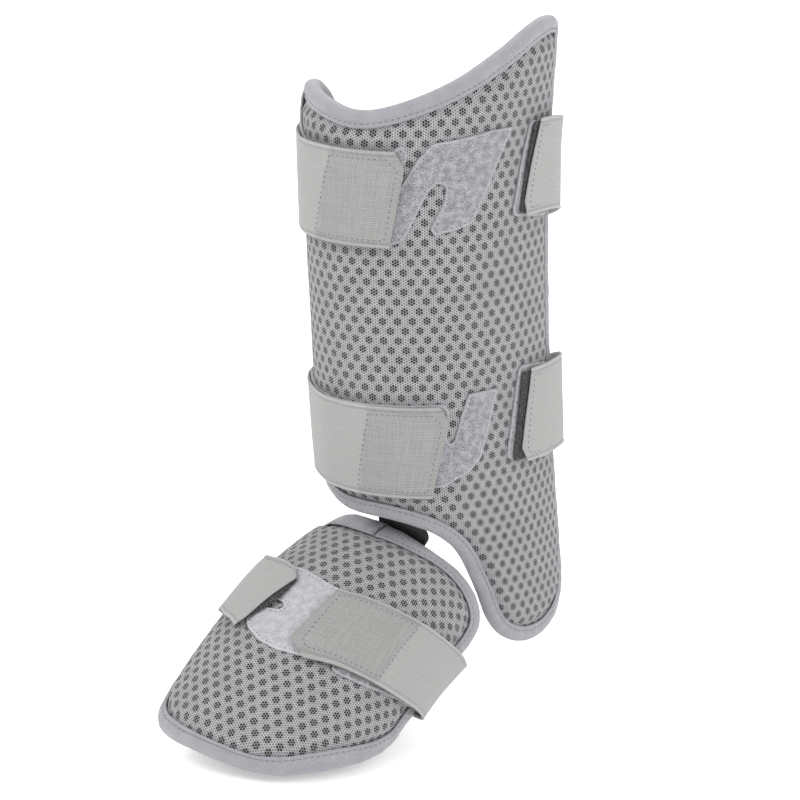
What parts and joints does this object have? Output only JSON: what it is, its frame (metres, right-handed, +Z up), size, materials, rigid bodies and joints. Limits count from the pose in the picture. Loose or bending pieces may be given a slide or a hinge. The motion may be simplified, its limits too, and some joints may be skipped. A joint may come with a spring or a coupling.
{
  "type": "batter leg guard",
  "caption": "Padded shin and foot guard for a left leg: a bound air-mesh shell with loop patches, elastic calf straps, and an arched foot pad hung on a woven band.",
  "frame": {"origin": "on the shell's inner face at its front, 185 mm above the tip of the ankle lobe, where the shin rests", "axes": "+Z up the leg, -Y to the front of the leg, +X to the outer side of a left leg"},
  "size_m": [0.1253, 0.2509, 0.3574],
  "materials": {
    "air_mesh": "light grey spacer mesh with fine holes in clusters",
    "edge_tape": "cool grey knitted binding tape, matt",
    "elastic": "warm light grey woven elastic with fine ribs",
    "hook_tape": "dark grey hook tape, rough",
    "loop_cloth": "light cool grey brushed loop cloth",
    "webbing": "black ribbed woven band"
  },
  "bodies": {
    "root": {"shin_panel": "air_mesh", "shin_binding": "edge_tape", "strap_upper": "elastic", "strap_lower": "elastic", "hook_pad_upper_front": "hook_tape", "hook_pad_upper_side": "hook_tape", "hook_pad_lower_front": "hook_tape", "hook_pad_lower_side": "hook_tape", "shin_loop_patch_upper": "loop_cloth", "shin_loop_patch_lower": "loop_cloth", "side_loop_patch_upper": "loop_cloth", "side_loop_patch_lower": "loop_cloth", "foot_panel": "air_mesh", "foot_binding": "edge_tape", "foot_strap": "elastic", "foot_hook_pad_front": "hook_tape", "foot_hook_pad_side": "hook_tape", "foot_loop_patch_centre": "loop_cloth", "foot_loop_patch_side": "loop_cloth", "ankle_webbing": "webbing"}
  },
  "joints": []
}
